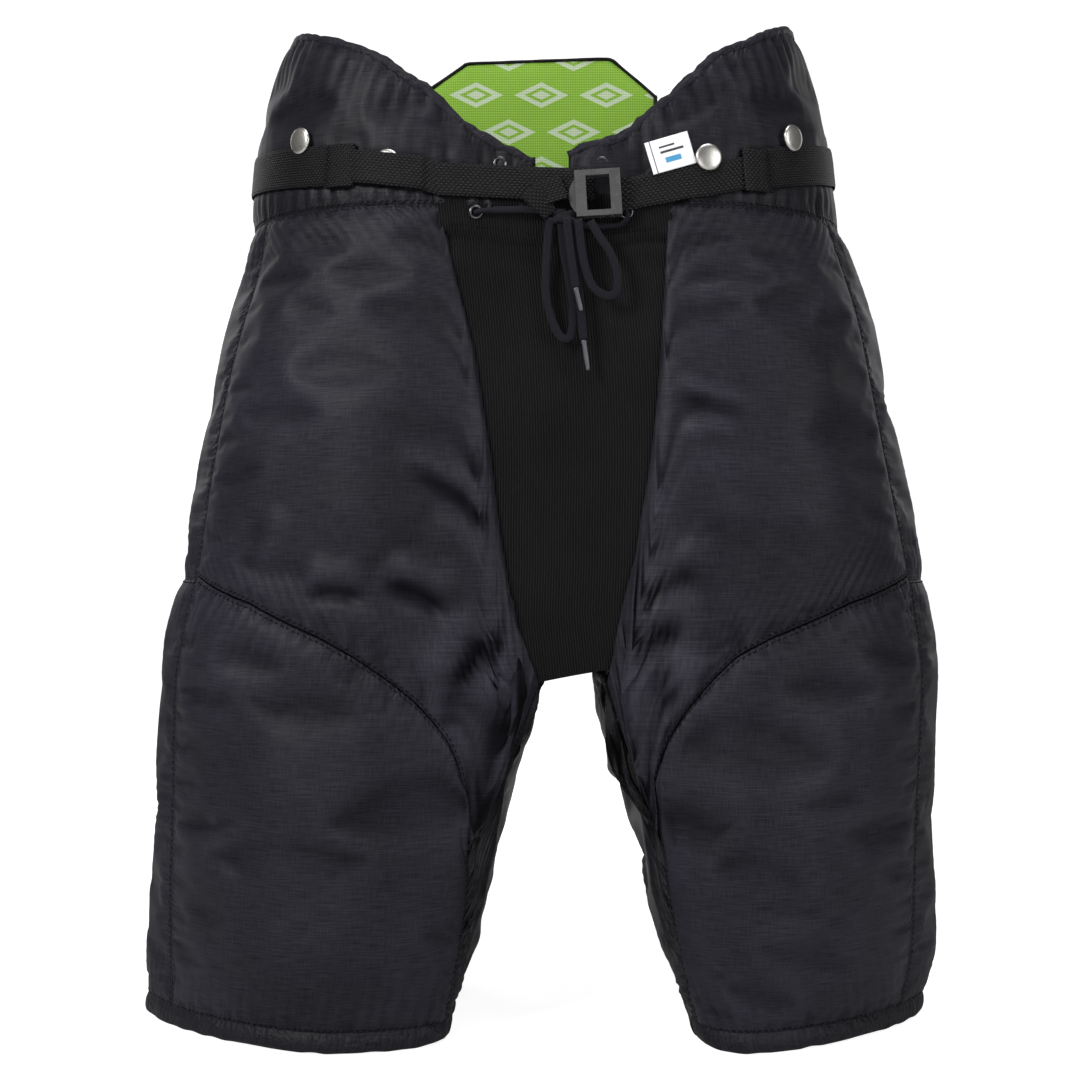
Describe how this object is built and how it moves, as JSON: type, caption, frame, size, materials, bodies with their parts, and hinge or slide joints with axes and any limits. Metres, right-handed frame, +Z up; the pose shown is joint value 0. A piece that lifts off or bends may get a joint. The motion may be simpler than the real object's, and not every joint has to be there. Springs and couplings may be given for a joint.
{
  "type": "hockey pants",
  "caption": "Padded ice hockey pants: nylon shell on two legs, knit crotch panel, hip, thigh and spine pads, webbing belt with cam buckle, laced fly and suspender buttons.",
  "frame": {"origin": "centre of the bounding box on the floor under the hems", "axes": "+Z up, fly faces -Y, +X is the wearer's left; names ending in _left are on -X and _right on +X, as seen from the front"},
  "size_m": [0.5482, 0.2768, 0.7],
  "materials": {
    "nylon_shell": "satin woven nylon",
    "nylon_gusset": "thin crinkled nylon",
    "hem_nylon": "folded and stitched nylon",
    "rib_knit": "fine vertical rib knit",
    "foam": "closed-cell foam",
    "guard_plastic": "moulded polyethylene",
    "webbing": "woven polypropylene webbing",
    "keeper_webbing": "woven webbing with stitched ends",
    "buckle_plastic": "satin moulded plastic",
    "pin_steel": "plain",
    "button_nickel": "brushed nickel",
    "eyelet_metal": "rolled metal",
    "lace_braid": "flat braid",
    "aglet": "clear film over the braid",
    "label_fabric": "satin ribbon label",
    "lime_lining": null,
    "leg_lining": "brushed lining"
  },
  "bodies": {
    "torso": {"front_panel_left": "nylon_shell", "front_panel_right": "nylon_shell", "seat_panel_left": "nylon_shell", "seat_panel_right": "nylon_shell", "waistband_left": "nylon_shell", "waistband_right": "nylon_shell", "fly_tab_left": "nylon_shell", "fly_tab_right": "nylon_shell", "knit_crotch_panel": "rib_knit", "crotch_gusset": "nylon_gusset", "hip_pad_left": "foam", "hip_pad_right": "foam", "hip_plate_left": "guard_plastic", "hip_plate_right": "guard_plastic", "seat_pad": "foam", "tailbone_plate": "guard_plastic", "belt_left": "webbing", "belt_right": "webbing", "belt_back": "webbing", "keeper_left": "keeper_webbing", "keeper_right": "keeper_webbing", "buckle_frame": "buckle_plastic", "buckle_pin": "pin_steel", "suspender_button_caps": "button_nickel", "suspender_button_posts": "button_nickel", "lace_eyelets": "eyelet_metal", "lace_threaded": "lace_braid", "lace_loop_left": "lace_braid", "lace_loop_right": "lace_braid", "lace_end_short": "lace_braid", "lace_end_long": "lace_braid", "aglet_short": "aglet", "aglet_long": "aglet", "size_label": "label_fabric"},
    "left_leg": {"thigh_panel_left": "nylon_shell", "leg_back_panel_left": "nylon_shell", "inner_gusset_left": "nylon_gusset", "hem_band_left": "hem_nylon", "thigh_guard_left": "guard_plastic", "thigh_foam_left": "foam", "leg_liner_left": "leg_lining"},
    "right_leg": {"thigh_panel_right": "nylon_shell", "leg_back_panel_right": "nylon_shell", "inner_gusset_right": "nylon_gusset", "hem_band_right": "hem_nylon", "thigh_guard_right": "guard_plastic", "thigh_foam_right": "foam", "leg_liner_right": "leg_lining"},
    "left_wing": {"wing_shell_left": "nylon_shell", "wing_foam_left": "foam", "wing_lining_left": "lime_lining"},
    "right_wing": {"wing_shell_right": "nylon_shell", "wing_foam_right": "foam", "wing_lining_right": "lime_lining"},
    "spine_pad": {"spine_pad_shell": "nylon_shell", "spine_pad_plate": "guard_plastic", "spine_pad_foam": "foam", "spine_pad_lining": "lime_lining"},
    "buckle_lever": {"buckle_lever": "buckle_plastic"}
  },
  "joints": [
    {"name": "hip_left", "type": "hinge", "parent": "torso", "child": "left_leg", "pos_m": [-0.12, 0, 0.4], "axis": [-1, 0, 0], "range_deg": [-10, 45], "deforming": ["front_panel_left", "seat_panel_left", "inner_gusset_left"]},
    {"name": "hip_right", "type": "hinge", "parent": "torso", "child": "right_leg", "pos_m": [0.13, 0, 0.4], "axis": [-1, 0, 0], "range_deg": [-10, 45], "deforming": ["front_panel_right", "seat_panel_right", "inner_gusset_right"]},
    {"name": "wing_left", "type": "hinge", "parent": "torso", "child": "left_wing", "pos_m": [-0.169, -0.032, 0.6], "axis": [0.3428, -0.9394, 0], "range_deg": [0, 12], "stiffness_Nm_per_rad": 1, "deforming": ["wing_shell_left", "wing_lining_left"]},
    {"name": "wing_right", "type": "hinge", "parent": "torso", "child": "right_wing", "pos_m": [0.172, -0.032, 0.6], "axis": [0.3428, 0.9394, 0], "range_deg": [0, 12], "stiffness_Nm_per_rad": 1, "deforming": ["wing_shell_right", "wing_lining_right"]},
    {"name": "spine_pad_tilt", "type": "hinge", "parent": "torso", "child": "spine_pad", "pos_m": [-0.0055, 0.119, 0.6], "axis": [-1, 0, 0], "range_deg": [0, 25], "stiffness_Nm_per_rad": 1},
    {"name": "buckle_lever_turn", "type": "hinge", "parent": "torso", "child": "buckle_lever", "pos_m": [0.02402, -0.1282, 0.54233], "axis": [-0.0611, 0, 0.9981], "range_deg": [0, 45]}
  ]
}
